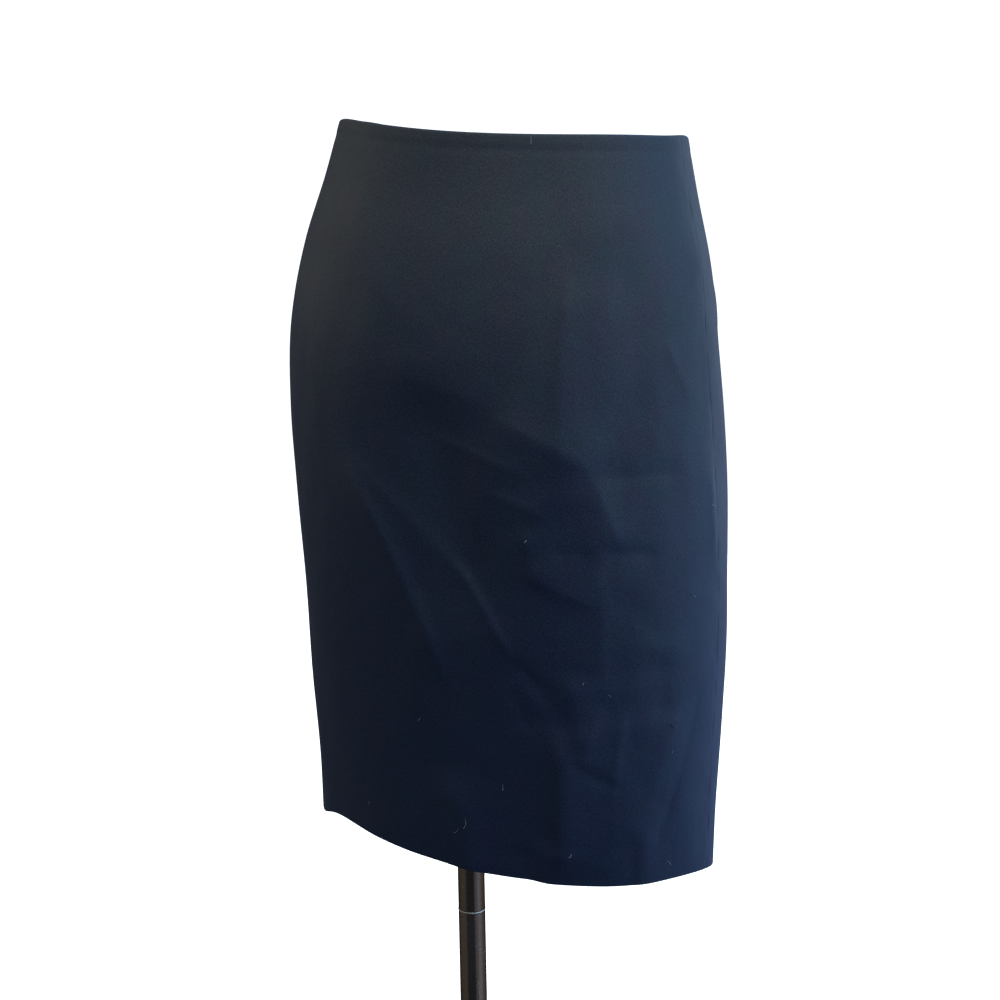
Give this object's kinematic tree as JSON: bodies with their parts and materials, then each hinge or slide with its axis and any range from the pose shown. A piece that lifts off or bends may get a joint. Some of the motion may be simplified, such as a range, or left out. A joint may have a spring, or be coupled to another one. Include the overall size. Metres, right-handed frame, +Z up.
{
  "type": "pencil skirt on a dress form",
  "caption": "Knee-length pencil skirt with a back zip and back vent, worn by a limbless hip form on a pole and a round base.",
  "frame": {"origin": "on the floor at the centre of the base plate's underside, on the pole's axis", "axes": "+Z up along the pole, -Y the wearer's front, +X the wearer's left"},
  "size_m": [0.3673, 0.3296, 1.055],
  "materials": {
    "suiting": "smooth navy wool-blend suiting, fine weave, faint sheen",
    "zip_tape": "plain woven navy tape",
    "zip_metal": "navy lacquered die-cast metal",
    "form_jersey": "natural cotton jersey drawn over a hard shell",
    "pole_chrome": "dark chrome tube, lightly scratched",
    "ring_chrome": "bright polished edge",
    "stand_steel": "dark chromed steel"
  },
  "bodies": {
    "stand_and_skirt": {"front_panel": "suiting", "back_left_panel": "suiting", "back_right_panel": "suiting", "vent_underlap": "suiting", "zip_tape_left": "zip_tape", "zip_tape_right": "zip_tape", "zip_slider": "zip_metal", "form_body": "form_jersey", "form_flange": "stand_steel", "pole_upper": "pole_chrome", "pole_ring": "ring_chrome", "pole_lower": "pole_chrome", "base_socket": "stand_steel", "base_plate": "stand_steel"},
    "pull_tab": {"zip_pull": "zip_metal"}
  },
  "joints": [
    {"name": "pull_swing", "type": "hinge", "parent": "stand_and_skirt", "child": "pull_tab", "pos_m": [0.02226, 0.1502, 1.00932], "axis": [1, 0, 0], "range_deg": [0, 140]}
  ]
}
